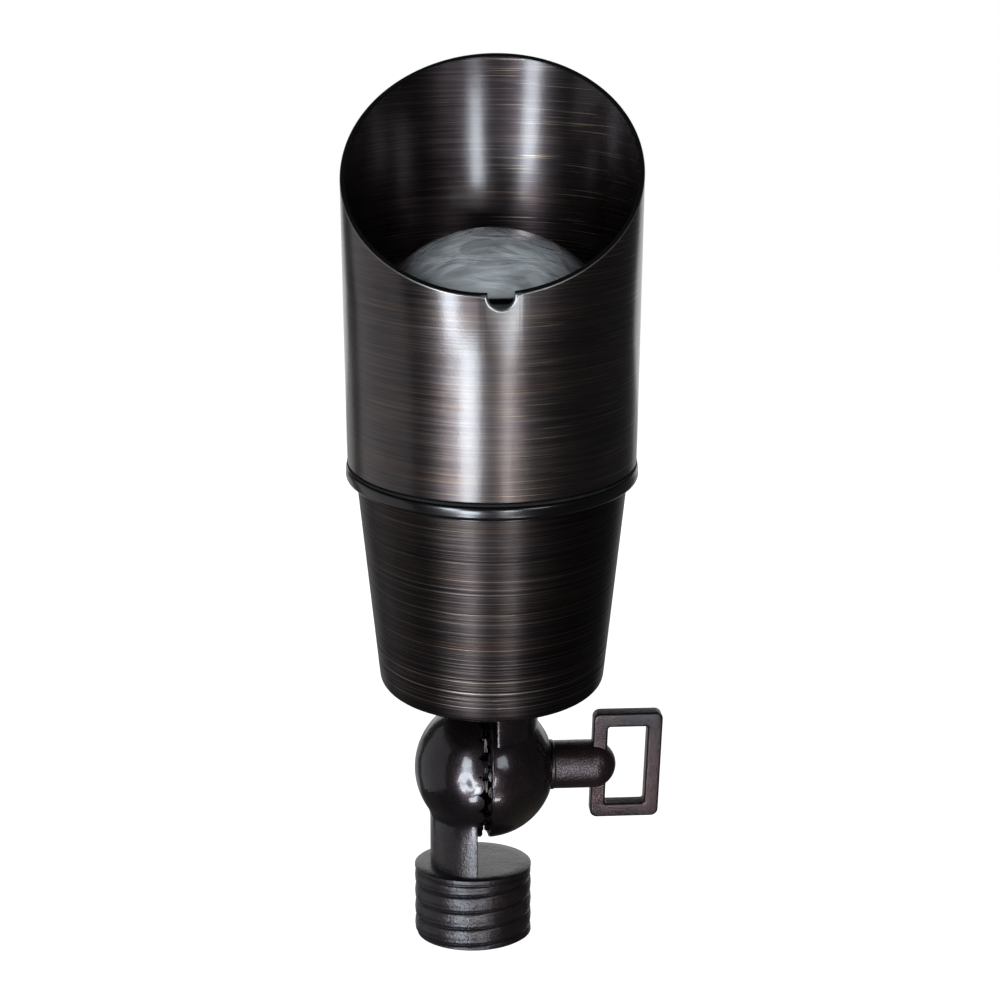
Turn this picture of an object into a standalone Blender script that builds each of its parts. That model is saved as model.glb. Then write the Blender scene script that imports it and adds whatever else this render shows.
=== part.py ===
"""Underwater pond light on a toothed swivel knuckle.

The origin is the centre of the threaded stub's lower end, +Z runs up the stub, and the
knuckle's pivot runs along +X. The head leans forward, toward -Y, about that pivot.
All sizes are in millimetres and are multiplied by MM.
"""

import math

import bmesh
import bpy
from mathutils import Matrix, Vector

MM = 0.001
GAP = 0.3

# Threaded stub, half-inch straight pipe thread on the outside
STUB_R = 10.67
STUB_H = 13.26
THREAD_DEPTH = 0.5
THREAD_PITCH = 3.0
THREAD_FROM, THREAD_TO = 0.6, 11.4
STUB_BORE_R = 6.4
STUB_BORE_H = 8.8
CABLE_BORE_R = 3.2
CABLE_BORE_X = -5.7

# Knuckle
PIVOT_X = 2.2
PIVOT_Z = 31.15
LEAN = math.radians(11.3)
SEAT_TILT = math.radians(-0.85)
BALL_R = 12.77
TEETH = 24
TOOTH_DEPTH = 1.1
LEFT_CREST_X = -0.8
RIGHT_CREST_X = -0.5
RIGHT_RIM_X = 0.25
TOOTH_INNER_R = 9.2
BOSS_R = 4.9
CAVITY_X = 6.6
SCREW_HOLE_R = 3.3
TAPPED_HOLE_END = -8.9
LOWER_NECK_R = 10.0
LOWER_NECK_FLAT = -2.0
UPPER_NECK_R = 9.6
UPPER_NECK_FLAT = 1.5
SPOTFACE_R = 5.1
SPOTFACE_X = 9.2

# Thumb screw, from the pivot's mid-plane along +X
STEM_R = 4.4
STEM_FOOT_X = 11.9
DOME_X = 19.7
RING_X0, RING_X1 = 19.6, 32.3
RING_H = 21.3
RING_T = 3.0
RING_BAR = 2.7
RING_LEAN = math.radians(13.0)
STUD_R = 2.8

# Head, along its own axis from the pivot
HEAD_X = 1.3
CUP_BOTTOM = 18.05
CUP_R0 = 19.97
CUP_TOP = 55.1
CUP_R1 = 23.17
BEAD_R = 25.1
BEAD_TOP = 58.5
SPIGOT_R = 23.2
SPIGOT_TOP = 84.9
LEDGE = 35.0
SHROUD_BOTTOM = 59.1
SHROUD_R = 24.74
SHROUD_WALL = 0.8
SHROUD_LOW = 92.3
SHROUD_HIGH = 124.57
SHROUD_TURN = math.radians(-6.6)
NOTCH_TURN = math.radians(5.2)
NOTCH_R = 2.2
DOME_R = 24.0
DOME_TOP = 97.5
LENS_WALL = 2.4
FLANGE_LOW, FLANGE_HIGH = 86.3, 88.1
LAMP_R = 17.5

SEGMENTS = 32


def clear_scene():
    """Take out whatever the scene holds before the light is built."""
    for obj in list(bpy.data.objects):
        bpy.data.objects.remove(obj, do_unlink=True)


def new_collection(name):
    """A collection of the scene."""
    collection = bpy.data.collections.new(name)
    bpy.context.scene.collection.children.link(collection)
    return collection


def finish(name, colour, roughness, metallic, alpha=1.0):
    """A plain Principled finish for one kind of piece."""
    made = bpy.data.materials.new(name)
    made.use_nodes = True
    shader = made.node_tree.nodes["Principled BSDF"]
    shader.inputs["Base Color"].default_value = (*colour, 1.0)
    shader.inputs["Roughness"].default_value = roughness
    shader.inputs["Metallic"].default_value = metallic
    shader.inputs["Alpha"].default_value = alpha
    made.diffuse_color = (*colour, alpha)
    return made


def place(obj, collection, parent=None, at=(0, 0, 0), turn=(0, 0, 0)):
    """Link an object, set where it stands (mm) and what carries it."""
    collection.objects.link(obj)
    obj.location = Vector(at) * MM
    obj.rotation_euler = turn
    obj.parent = parent
    return obj


def empty(name, collection, parent=None, at=(0, 0, 0), turn=(0, 0, 0)):
    """A pivot that carries the pieces of one moving body."""
    return place(bpy.data.objects.new(name, None), collection, parent, at, turn)


def turned(name, profile, segments=SEGMENTS, closed=True):
    """A solid of revolution about local Z. The profile holds (radius, height) in mm and
    runs down its outer side; it is closed into a loop unless both ends lie on the axis."""
    mesh = bpy.data.meshes.new(name)
    points = [(r * MM, 0.0, z * MM) for r, z in profile]
    edges = [(i, i + 1) for i in range(len(points) - 1)]
    if closed:
        edges.append((len(points) - 1, 0))
    mesh.from_pydata(points, edges, [])
    obj = bpy.data.objects.new(name, mesh)
    screw = obj.modifiers.new("turn", "SCREW")
    screw.steps = segments
    screw.render_steps = segments
    screw.use_merge_vertices = True
    screw.merge_threshold = 0.00001
    return obj


def ring(name, inner, outer, low, high, segments=SEGMENTS):
    """A flat ring."""
    return turned(name, [(outer, high), (outer, low), (inner, low), (inner, high)], segments)


def o_ring(name, centre_r, wire_r, height, segments=SEGMENTS, sides=8):
    """A rubber ring of round section."""
    profile = []
    for i in range(sides):
        a = math.pi / 2 - 2 * math.pi * (i + 0.5) / sides
        profile.append((centre_r + wire_r * math.cos(a), height + wire_r * math.sin(a)))
    return turned(name, profile, segments)


def arc(cr, cz, radius, start, end, count):
    """Profile points along a circular arc, angles in degrees from the +radius axis."""
    out = []
    for i in range(count + 1):
        a = math.radians(start + (end - start) * i / count)
        out.append((cr + radius * math.cos(a), cz + radius * math.sin(a)))
    return out


def baked(obj, collection):
    """The object with its modifiers applied, as a plain mesh object of the same name."""
    graph = bpy.context.evaluated_depsgraph_get()
    graph.update()
    mesh = bpy.data.meshes.new_from_object(obj.evaluated_get(graph), depsgraph=graph)
    name = obj.name
    parent = obj.parent
    matrix = obj.matrix_basis.copy()
    bpy.data.objects.remove(obj, do_unlink=True)
    work = bmesh.new()
    work.from_mesh(mesh)
    bmesh.ops.remove_doubles(work, verts=work.verts, dist=0.000002)
    bmesh.ops.recalc_face_normals(work, faces=work.faces)
    work.to_mesh(mesh)
    work.free()
    made = bpy.data.objects.new(name, mesh)
    collection.objects.link(made)
    made.parent = parent
    made.matrix_basis = matrix
    return made


def box_mesh(name, size):
    """A box centred on its own origin, size in mm."""
    mesh = bpy.data.meshes.new(name)
    work = bmesh.new()
    bmesh.ops.create_cube(work, size=1.0)
    bmesh.ops.scale(work, vec=Vector(size) * MM, verts=work.verts)
    work.to_mesh(mesh)
    work.free()
    return bpy.data.objects.new(name, mesh)


def rod_mesh(name, radius, length, segments=16):
    """A cylinder along local Z, centred on its own origin."""
    mesh = bpy.data.meshes.new(name)
    work = bmesh.new()
    bmesh.ops.create_cone(
        work,
        cap_ends=True,
        segments=segments,
        radius1=radius * MM,
        radius2=radius * MM,
        depth=length * MM,
    )
    work.to_mesh(mesh)
    work.free()
    return bpy.data.objects.new(name, mesh)


def outline_mesh(name, points, thickness):
    """A flat outline (x, y in mm) thickened along local Z, as a mesh."""
    curve = bpy.data.curves.new(name, "CURVE")
    curve.dimensions = "2D"
    curve.fill_mode = "BOTH"
    curve.extrude = thickness * MM / 2
    spline = curve.splines.new("POLY")
    spline.points.add(len(points) - 1)
    for point, (x, y) in zip(spline.points, points):
        point.co = (x * MM, y * MM, 0.0, 1.0)
    spline.use_cyclic_u = True
    return bpy.data.objects.new(name, curve)


def boolean(target, tool, operation, tools):
    """Cut with, or join to, another solid, which is then hidden."""
    if target.name not in tool.name:
        tool.name = target.name + "_" + tool.name
    if tool.name not in tools.objects:
        for holder in tool.users_collection:
            holder.objects.unlink(tool)
        tools.objects.link(tool)
    tool.hide_render = True
    tool.display_type = "WIRE"
    step = target.modifiers.new(operation.lower(), "BOOLEAN")
    step.operation = operation
    step.solver = "EXACT"
    step.object = tool


def cut(target, tool, tools):
    boolean(target, tool, "DIFFERENCE", tools)


def join(target, tool, tools):
    boolean(target, tool, "UNION", tools)


def smooth(obj, degrees=35.0):
    """Round sides shade round, corners stay sharp."""
    if obj.type == "MESH":
        obj.data.shade_smooth()
        obj.data.set_sharp_from_angle(angle=math.radians(degrees))


def threaded_stub(name, segments=32, rows_per_pitch=4):
    """The stub's body: radius follows a helical groove between two heights."""
    work = bmesh.new()
    levels = [0.0, 0.4]
    count = round((THREAD_TO - THREAD_FROM) / THREAD_PITCH * rows_per_pitch)
    levels += [THREAD_FROM + (THREAD_TO - THREAD_FROM) * i / count for i in range(count + 1)]
    levels += [STUB_H]
    rows = []
    for height in levels:
        row = []
        for i in range(segments):
            a = 2 * math.pi * i / segments
            radius = STUB_R
            if height == 0.0:
                radius = STUB_R - 0.4
            elif THREAD_FROM < height < THREAD_TO:
                phase = (height - THREAD_PITCH * i / segments) / THREAD_PITCH % 1.0
                radius -= THREAD_DEPTH * max(0.0, 1.0 - abs(phase - 0.5) / 0.25)
            place_at = (radius * math.cos(a) * MM, radius * math.sin(a) * MM, height * MM)
            row.append(work.verts.new(place_at))
        rows.append(row)
    for low, high in zip(rows, rows[1:]):
        for i in range(segments):
            j = (i + 1) % segments
            work.faces.new((low[i], low[j], high[j], high[i]))
    work.faces.new(list(reversed(rows[0])))
    work.faces.new(rows[-1])
    bmesh.ops.recalc_face_normals(work, faces=work.faces)
    mesh = bpy.data.meshes.new(name)
    work.to_mesh(mesh)
    work.free()
    return bpy.data.objects.new(name, mesh)


def half_ball(name, crest_x, outer_teeth, rim_x, collection):
    """Half of the knuckle's ball, turned about local Z with its face at the bottom.
    The face carries radial teeth whose crests stand at crest_x and whose roots lie
    TOOTH_DEPTH behind; with outer_teeth they run out to the ball's own surface."""
    steps = 2 * TEETH
    face_r = math.sqrt(BALL_R**2 - rim_x**2)
    start = math.degrees(math.asin(rim_x / BALL_R))
    profile = [(BALL_R * math.cos(math.radians(a)), BALL_R * math.sin(math.radians(a)))
               for a in [90 - (90 - start) * i / 7 for i in range(7)]]
    profile[0] = (0.0, BALL_R)
    profile.append((face_r, rim_x))
    tooth_out = len(profile) - 1
    if not outer_teeth:
        profile.append((face_r - 1.1, rim_x))
        tooth_out = len(profile)
        profile.append((face_r - 1.1, crest_x))
    profile.append((TOOTH_INNER_R, crest_x))
    tooth_in = len(profile) - 1
    profile += [(TOOTH_INNER_R, CAVITY_X), (BOSS_R, CAVITY_X), (BOSS_R, rim_x), (0.0, rim_x)]
    obj = turned(name, profile, steps, closed=False)
    place(obj, collection)
    obj = baked(obj, collection)
    wanted = {tooth_out, tooth_in}
    targets = [Vector(profile[i]) * MM for i in wanted]
    for vert in obj.data.vertices:
        here = Vector((math.hypot(vert.co.x, vert.co.y), vert.co.z))
        if min((here - t).length for t in targets) < 0.00002:
            step = round(math.atan2(vert.co.y, vert.co.x) / (2 * math.pi) * steps)
            if step % 2 == 1:
                vert.co.z = (crest_x + TOOTH_DEPTH) * MM
                if outer_teeth and here.x > 0.9 * face_r * MM:
                    outer = math.sqrt(BALL_R**2 - (crest_x + TOOTH_DEPTH) ** 2) * MM
                    vert.co.x *= outer / here.x
                    vert.co.y *= outer / here.x
            else:
                vert.co.z = crest_x * MM
    return obj


def neck_points(rx, ry, flat, sign, count=14):
    """A D-shaped section: part of an ellipse cut off by a flat, in mm."""
    limit = math.acos(flat / rx)
    points = []
    for i in range(count + 1):
        a = -limit + 2 * limit * i / count
        points.append((sign * rx * math.cos(a), ry * math.sin(a)))
    return points


def extruded(name, points, low, high, collection, parent, at):
    """A flat outline raised from one height to another along the parent's Z, as a mesh."""
    obj = outline_mesh(name, points, high - low)
    place(obj, collection, parent, (at[0], at[1], at[2] + (low + high) / 2))
    return baked(obj, collection)


def lower_knuckle(group, tools, metal):
    """Threaded stub, D-shaped neck and the toothed left half of the ball, in one casting."""
    body = threaded_stub("lower_knuckle")
    place(body, group)
    neck = extruded("neck", neck_points(LOWER_NECK_R, LOWER_NECK_R, -LOWER_NECK_FLAT, -1),
                    STUB_H - 1.0, PIVOT_Z - 4.0, tools, None, (PIVOT_X, 0, 0))
    room = rod_mesh("neck_room", TOOTH_INNER_R + 1.6, 2 * CAVITY_X, 32)
    place(room, tools, None, (PIVOT_X, 0, PIVOT_Z), (0, math.radians(90), 0))
    cut(neck, room, tools)
    ball = half_ball("ball", -LEFT_CREST_X, True, -LEFT_CREST_X, tools)
    ball.location = Vector((PIVOT_X, 0, PIVOT_Z)) * MM
    ball.rotation_euler = (0, math.radians(-90), 0)
    join(body, neck, tools)
    join(body, ball, tools)
    bore = rod_mesh("stub_bore", STUB_BORE_R, 2 * STUB_BORE_H, 24)
    place(bore, tools)
    cut(body, bore, tools)
    cable = rod_mesh("cable_bore", 2.1, 20.0, 12)
    place(cable, tools, None, (PIVOT_X + CABLE_BORE_X, 0, 16.0))
    cut(body, cable, tools)
    hole = rod_mesh("tapped_hole", SCREW_HOLE_R, 20.0, 16)
    place(hole, tools, None, (PIVOT_X + TAPPED_HOLE_END + 10.0, 0, PIVOT_Z),
          (0, math.radians(90), 0))
    cut(body, hole, tools)
    body.data.materials.append(metal)
    return body


def upper_knuckle(group, tools, head, seat, metal):
    """The matching casting: toothed right half, neck and the stub that enters the housing."""
    body = rod_mesh("upper_knuckle", STUB_R - 0.3, 13.0, 32)
    place(body, group, seat, (HEAD_X, 0, CUP_BOTTOM - 0.4 + 6.5))
    neck = extruded("neck", neck_points(UPPER_NECK_R, UPPER_NECK_R, UPPER_NECK_FLAT, 1),
                    2.6, CUP_BOTTOM - GAP, tools, seat, (0, 0, 0))
    room = rod_mesh("neck_room", TOOTH_INNER_R + 0.6, 2 * CAVITY_X, 32)
    place(room, tools, head, (0, 0, 0), (0, math.radians(90), 0))
    cut(neck, room, tools)
    ball = half_ball("ball", RIGHT_CREST_X, False, RIGHT_RIM_X, tools)
    ball.parent = head
    half_tooth = math.pi / TEETH
    ball.rotation_euler = (Matrix.Rotation(half_tooth - LEAN, 3, "X")
                           @ Matrix.Rotation(math.radians(90), 3, "Y")).to_euler()
    join(body, neck, tools)
    join(body, ball, tools)
    face = rod_mesh("spotface", SPOTFACE_R, 10.0, 24)
    place(face, tools, head, (SPOTFACE_X + 5.0, 0, 0), (0, math.radians(90), 0))
    cut(body, face, tools)
    hole = rod_mesh("screw_hole", SCREW_HOLE_R, 30.0, 16)
    place(hole, tools, head, (0, 0, 0), (0, math.radians(90), 0))
    cut(body, hole, tools)
    cable = rod_mesh("cable_bore", 2.1, 30.0, 12)
    place(cable, tools, seat, (5.0, 0, 5.5 + 15.0))
    cut(body, cable, tools)
    socket = rod_mesh("gland_bore", 5.6, 10.0, 20)
    place(socket, tools, seat, (HEAD_X, 0, CUP_BOTTOM + 4.6 + 5.0))
    cut(body, socket, tools)
    body.data.materials.append(metal)
    return body


def clamp_pieces(group, tools, screw, washers, metal, steel, rubber):
    """Thumb screw with its stud, and the washer and rubber ring it bears on."""
    along = (0, math.radians(90), 0)
    dome = [(0.0, DOME_X + STEM_R)]
    dome += [(STEM_R * math.sin(math.radians(a)), DOME_X + STEM_R * math.cos(math.radians(a)))
             for a in (22.5, 45.0, 67.5, 90.0)]
    profile = dome + [(STEM_R, STEM_FOOT_X + 0.9), (STEM_R + 0.3, STEM_FOOT_X + 0.5),
                      (STEM_R + 0.3, STEM_FOOT_X), (STUD_R + 0.3, STEM_FOOT_X),
                      (STUD_R + 0.3, 17.6), (0.0, 17.6)]
    body = turned("thumb_screw", profile, 20, closed=False)
    place(body, group, screw, (0, 0, 0), along)
    w, h = RING_X1 - RING_X0, RING_H
    frame = box_mesh("ring", (w, RING_T, h))
    place(frame, tools, screw, ((RING_X0 + RING_X1) / 2, 0, 0))
    bevel = frame.modifiers.new("edges", "BEVEL")
    bevel.width = 0.6 * MM
    bevel.segments = 1
    bevel.limit_method = "ANGLE"
    window = box_mesh("ring_window", (w - 2 * RING_BAR, 3 * RING_T, h - 2 * RING_BAR))
    place(window, tools, screw, ((RING_X0 + RING_X1) / 2, 0, 0))
    cut(frame, window, tools)
    join(body, frame, tools)
    body.data.materials.append(metal)
    stud = rod_mesh("clamp_stud", STUD_R, 24.2, 16)
    place(stud, group, screw, (-7.0 + 12.1, 0, 0), along)
    stud.data.materials.append(steel)
    washer = ring("thrust_washer", STUD_R + 0.3, 4.7, SPOTFACE_X + GAP, SPOTFACE_X + 1.1, 20)
    place(washer, group, washers, (0, 0, 0), along)
    washer.data.materials.append(steel)
    gasket = ring("thrust_gasket", STUD_R + 0.3, 4.6, SPOTFACE_X + 1.3, SPOTFACE_X + 2.4, 20)
    place(gasket, group, washers, (0, 0, 0), along)
    gasket.data.materials.append(rubber)


def housing(group, tools, head, metal):
    """Turned cup: tapered wall, rounded bead, and the spigot that carries the shroud."""
    grooves = []
    for height in (78.0, 66.0):
        grooves += [(SPIGOT_R, height + 1.1), (SPIGOT_R - 1.2, height + 1.1),
                    (SPIGOT_R - 1.2, height - 1.1), (SPIGOT_R, height - 1.1)]
    profile = [(SPIGOT_R - 0.4, SPIGOT_TOP), (SPIGOT_R, SPIGOT_TOP - 0.6)]
    profile += grooves
    profile += [(SPIGOT_R, BEAD_TOP), (BEAD_R - 0.3, BEAD_TOP), (BEAD_R, BEAD_TOP - 0.4)]
    profile += [(BEAD_R, CUP_TOP + 1.6), (BEAD_R - 0.5, CUP_TOP + 0.6),
                (CUP_R1 + 0.5, CUP_TOP), (CUP_R1, CUP_TOP - 0.3)]
    profile += arc(CUP_R0 - 1.6, CUP_BOTTOM + 1.6, 1.6, 0, -90, 3)
    profile += [(STUB_R, CUP_BOTTOM), (STUB_R, CUP_BOTTOM + 2.4)]
    profile += [(17.2, CUP_BOTTOM + 2.4), (17.2, LEDGE), (19.5, LEDGE)]
    profile += [(21.0, CUP_TOP), (21.0, SPIGOT_TOP)]
    cup = turned("housing", profile)
    place(cup, group, head, (HEAD_X, 0, 0))
    cup.data.materials.append(metal)
    return cup


def housing_fittings(group, tools, head, steel, rubber, ceramic):
    """Nut, seals, socket plate, socket and screws inside the housing."""
    base = (HEAD_X, 0, 0)
    floor = CUP_BOTTOM + 2.4
    seal = ring("stem_gasket", STUB_R + 0.2, 15.0, floor + 0.2, floor + 1.2)
    place(seal, group, head, base)
    seal.data.materials.append(rubber)
    nut = rod_mesh("stem_nut", 15.6, 4.4, 6)
    place(nut, group, head, (HEAD_X, 0, floor + 1.4 + 2.2))
    core = rod_mesh("bore", STUB_R, 10.0, 32)
    place(core, tools, head, (HEAD_X, 0, floor + 3.6))
    cut(nut, core, tools)
    nut.data.materials.append(steel)
    gland = ring("stub_grommet", 2.6, 5.3, CUP_BOTTOM + 4.9, CUP_BOTTOM + 11.6, 20)
    place(gland, group, head, base)
    gland.data.materials.append(rubber)
    plate = ring("socket_plate", 5.0, 19.1, LEDGE + 0.2, LEDGE + 1.2)
    place(plate, group, head, base)
    plate.data.materials.append(steel)
    for i, side in enumerate((1, -1), 1):
        hole = rod_mesh("screw_hole_%d" % i, 1.3, 6.0, 10)
        place(hole, tools, head, (HEAD_X, side * 15.5, LEDGE + 0.7))
        cut(plate, hole, tools)
        screw = turned("plate_screw_%d" % i,
                       [(0.0, 3.0), (1.4, 2.8), (1.9, 2.0), (1.9, 1.4), (1.05, 1.4),
                        (1.05, -1.6), (0.0, -1.6)], 10, closed=False)
        place(screw, group, head, (HEAD_X, side * 15.5, LEDGE))
        screw.data.materials.append(steel)
    socket = box_mesh("lamp_socket", (16.0, 9.0, 8.6))
    place(socket, group, head, (HEAD_X, 0, LEDGE + 1.4 + 4.3))
    edge = socket.modifiers.new("edges", "BEVEL")
    edge.width = 0.8 * MM
    edge.segments = 1
    for side in (-2.0, 2.0):
        hole = rod_mesh("pin_hole", 0.8, 20.0, 10)
        place(hole, tools, head, (HEAD_X + side, 0, LEDGE + 6.0))
        cut(socket, hole, tools)
    socket.data.materials.append(ceramic)


def leads(group, tools, head, black, white):
    """Two insulated leads from the stub's gland up to the socket."""
    low = CUP_BOTTOM + 11.9
    high = LEDGE + 1.1
    for name, side, paint in (("lead_black", -1, black), ("lead_white", 1, white)):
        curve = bpy.data.curves.new(name, "CURVE")
        curve.dimensions = "3D"
        curve.bevel_depth = 0.7 * MM
        curve.bevel_resolution = 2
        curve.use_fill_caps = True
        spline = curve.splines.new("POLY")
        count = 9
        spline.points.add(count)
        for i in range(count + 1):
            t = i / count
            ease = t * t * (3 - 2 * t)
            x = side * (1.1 + 2.6 * ease)
            y = side * 1.2 * math.sin(math.pi * t)
            z = low + (high - low) * t
            spline.points[i].co = (x * MM, y * MM, z * MM, 1.0)
        curve.materials.append(paint)
        place(bpy.data.objects.new(name, curve), group, head, (HEAD_X, 0, 0))


def lamp(group, tools, head, alloy, silver, board_paint, glass, steel):
    """Two-pin LED lamp: finned body, board, reflector, front glass and pins."""
    base = (HEAD_X, 0, 0)
    foot = LEDGE + 10.3
    profile = [(LAMP_R, 82.4), (LAMP_R, 80.6), (16.4, 80.0), (15.6, 70.0), (12.6, 60.0),
               (8.4, 52.0), (6.4, 49.6), (6.0, foot), (0.0, foot), (0.0, 73.0),
               (14.2, 73.0), (16.2, 80.6), (16.9, 80.6), (16.9, 82.4)]
    core = turned("lamp_body", profile, SEGMENTS, closed=True)
    place(core, group, head, base)
    core = baked(core, group)
    for vert in core.data.vertices:
        radius = math.hypot(vert.co.x, vert.co.y)
        step = round(math.atan2(vert.co.y, vert.co.x) / (2 * math.pi) * SEGMENTS)
        outside = 51.0 * MM < vert.co.z < 72.0 * MM and radius > 5.0 * MM
        if outside and step % 4 in (0, 1):
            vert.co.x *= 0.86
            vert.co.y *= 0.86
    core.data.materials.append(alloy)
    plate = rod_mesh("lamp_board", 11.0, 1.0, 24)
    place(plate, group, head, (HEAD_X, 0, 73.8))
    for i in range(3):
        a = 2 * math.pi * i / 3
        chip = box_mesh("chip_%d" % i, (2.6, 2.6, 1.2))
        place(chip, tools, head, (HEAD_X + 4.2 * math.cos(a), 4.2 * math.sin(a), 74.6))
        join(plate, chip, tools)
    plate.data.materials.append(board_paint)
    cup = turned("lamp_reflector", [(15.9, 80.3), (13.6, 74.8), (7.6, 74.8), (7.6, 75.3),
                                    (13.2, 75.3), (15.3, 80.3)])
    place(cup, group, head, base)
    cup.data.materials.append(silver)
    front = rod_mesh("lamp_glass", 16.6, 1.2, 32)
    place(front, group, head, (HEAD_X, 0, 81.5))
    front.data.materials.append(glass)
    for i, side in enumerate((-2.0, 2.0), 1):
        pin = rod_mesh("lamp_pin_%d" % i, 0.5, 7.6, 8)
        place(pin, group, head, (HEAD_X + side, 0, foot - 0.2 - 3.8))
        pin.data.materials.append(steel)


def shroud(group, tools, carrier, metal):
    """Thin tube, cut off at an angle and notched for drainage at the low side."""
    middle = SHROUD_R - SHROUD_WALL / 2
    tall = SHROUD_HIGH + 4.0
    mesh = bpy.data.meshes.new("shroud")
    mesh.from_pydata([(middle * MM, 0, tall * MM), (middle * MM, 0, SHROUD_BOTTOM * MM)],
                     [(0, 1)], [])
    tube = bpy.data.objects.new("shroud", mesh)
    screw = tube.modifiers.new("turn", "SCREW")
    screw.steps = 48
    screw.render_steps = 48
    screw.use_merge_vertices = True
    screw.merge_threshold = 0.00001
    wall = tube.modifiers.new("wall", "SOLIDIFY")
    wall.thickness = SHROUD_WALL * MM
    wall.offset = 0.0
    place(tube, group, carrier, (HEAD_X, 0, 0), (0, 0, SHROUD_TURN))
    rise = (SHROUD_HIGH - SHROUD_LOW) / 2
    slope = math.atan2(rise, SHROUD_R)
    centre = (SHROUD_HIGH + SHROUD_LOW) / 2
    away = box_mesh("slant", (80.0, 120.0, 60.0))
    place(away, tools, tube, (0, -30.0 * math.sin(slope), centre + 30.0 * math.cos(slope)),
          (slope, 0, 0))
    cut(tube, away, tools)
    notch = rod_mesh("notch", NOTCH_R, 12.0, 20)
    turn = Matrix.Rotation(NOTCH_TURN, 3, "Z") @ Matrix.Rotation(math.radians(90), 3, "X")
    spot = (SHROUD_R * math.sin(NOTCH_TURN), -SHROUD_R * math.cos(NOTCH_TURN),
            SHROUD_LOW + 0.1)
    place(notch, tools, tube, spot, turn.to_euler())
    cut(tube, notch, tools)
    tube.data.materials.append(metal)
    return tube


def lens_pieces(group, head, carrier, glass, rubber, metal):
    """Domed glass with its two rubber rings and the ring that keeps it in the shroud."""
    base = (HEAD_X, 0, 0)
    centre = DOME_TOP - DOME_R
    edge = math.degrees(math.asin((FLANGE_HIGH - centre) / DOME_R))
    outer = [(0.0, DOME_TOP)] + arc(0, centre, DOME_R, 82, edge, 5)
    outer += [(22.8, FLANGE_HIGH), (22.8, FLANGE_LOW)]
    inside_r = DOME_R - LENS_WALL
    low = math.degrees(math.asin((FLANGE_LOW - centre) / inside_r))
    inner = arc(0, centre, inside_r, low, 80, 4) + [(0.0, centre + inside_r)]
    dome = turned("lens", outer + inner, SEGMENTS, closed=True)
    place(dome, group, carrier, base)
    dome.data.materials.append(glass)
    lower = ring("lens_gasket_lower", 20.6, 22.8, SPIGOT_TOP + 0.2, FLANGE_LOW - 0.2)
    place(lower, group, head, base)
    lower.data.materials.append(rubber)
    upper = ring("lens_gasket_upper", 19.2, 22.8, FLANGE_HIGH + 0.2, FLANGE_HIGH + 1.0)
    place(upper, group, carrier, base)
    upper.data.materials.append(rubber)
    keeper = ring("lens_ring", 18.2, 23.6, FLANGE_HIGH + 1.2, FLANGE_HIGH + 2.2)
    place(keeper, group, carrier, base)
    keeper.data.materials.append(metal)


def seals(group, head, rings, rubber):
    """Black ring under the shroud, and the two rings in the spigot's grooves."""
    base = (HEAD_X, 0, 0)
    bead = ring("bead_gasket", SPIGOT_R + 0.2, SHROUD_R + 0.1, BEAD_TOP + 0.05,
                SHROUD_BOTTOM - 0.05)
    place(bead, group, head, base)
    bead.data.materials.append(rubber)
    for name, height in (("spigot_ring_high", 78.0), ("spigot_ring_low", 66.0)):
        seal = o_ring(name, SPIGOT_R - 0.25, 0.8, height)
        place(seal, group, rings, base)
        seal.data.materials.append(rubber)


def stub_seal(group, rubber):
    """Rubber gland in the threaded stub, where a supply cable enters."""
    gland = ring("cable_grommet", 3.1, STUB_BORE_R - 0.3, 1.2, STUB_BORE_H - 0.4, 24)
    place(gland, group)
    gland.data.materials.append(rubber)


def build():
    clear_scene()
    group = new_collection("pond_light")
    tools = new_collection("cutters")
    cast = finish("cast_bronze", (0.055, 0.042, 0.04), 0.35, 1.0)
    brushed = finish("brushed_bronze", (0.10, 0.08, 0.075), 0.38, 1.0)
    steel = finish("stainless_steel", (0.55, 0.55, 0.56), 0.3, 1.0)
    rubber = finish("black_rubber", (0.02, 0.02, 0.02), 0.7, 0.0)
    glass = finish("clear_glass", (0.8, 0.85, 0.88), 0.05, 0.0, 0.35)
    alloy = finish("cast_alloy", (0.6, 0.6, 0.62), 0.4, 1.0)
    silver = finish("polished_reflector", (0.9, 0.9, 0.9), 0.1, 1.0)
    mask = finish("white_board", (0.8, 0.82, 0.8), 0.5, 0.0)
    ceramic = finish("white_ceramic", (0.85, 0.83, 0.78), 0.45, 0.0)
    black = finish("black_insulation", (0.02, 0.02, 0.02), 0.5, 0.0)
    white = finish("white_insulation", (0.8, 0.8, 0.78), 0.5, 0.0)
    washers = empty("clamp_travel_axis", group, None, (PIVOT_X, 0, PIVOT_Z))
    screw = empty("clamp_turn_axis", group, washers, (0, 0, 0), (RING_LEAN, 0, 0))
    head = empty("head_tilt_axis", group, washers, (0, 0, 0), (LEAN, 0, 0))
    seat = empty("head_seat", group, head, (0, 0, 0), (0, SEAT_TILT, 0))
    rings = empty("shroud_turn_axis", group, seat)
    carrier = empty("shroud_pull_axis", group, rings)
    lower_knuckle(group, tools, cast)
    upper_knuckle(group, tools, head, seat, cast)
    clamp_pieces(group, tools, screw, washers, cast, steel, rubber)
    stub_seal(group, rubber)
    housing(group, tools, seat, brushed)
    housing_fittings(group, tools, seat, steel, rubber, ceramic)
    leads(group, tools, seat, black, white)
    lamp(group, tools, seat, alloy, silver, mask, glass, steel)
    seals(group, seat, rings, rubber)
    lens_pieces(group, seat, carrier, glass, rubber, brushed)
    shroud(group, tools, carrier, brushed)
    tools.hide_render = True
    for obj in group.objects:
        smooth(obj)


build()
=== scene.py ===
"""Underwater pond light: brushed antique bronze head on a toothed cast swivel."""

import math

import bmesh
import bpy
import numpy as np
from mathutils import Matrix, Vector


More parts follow.
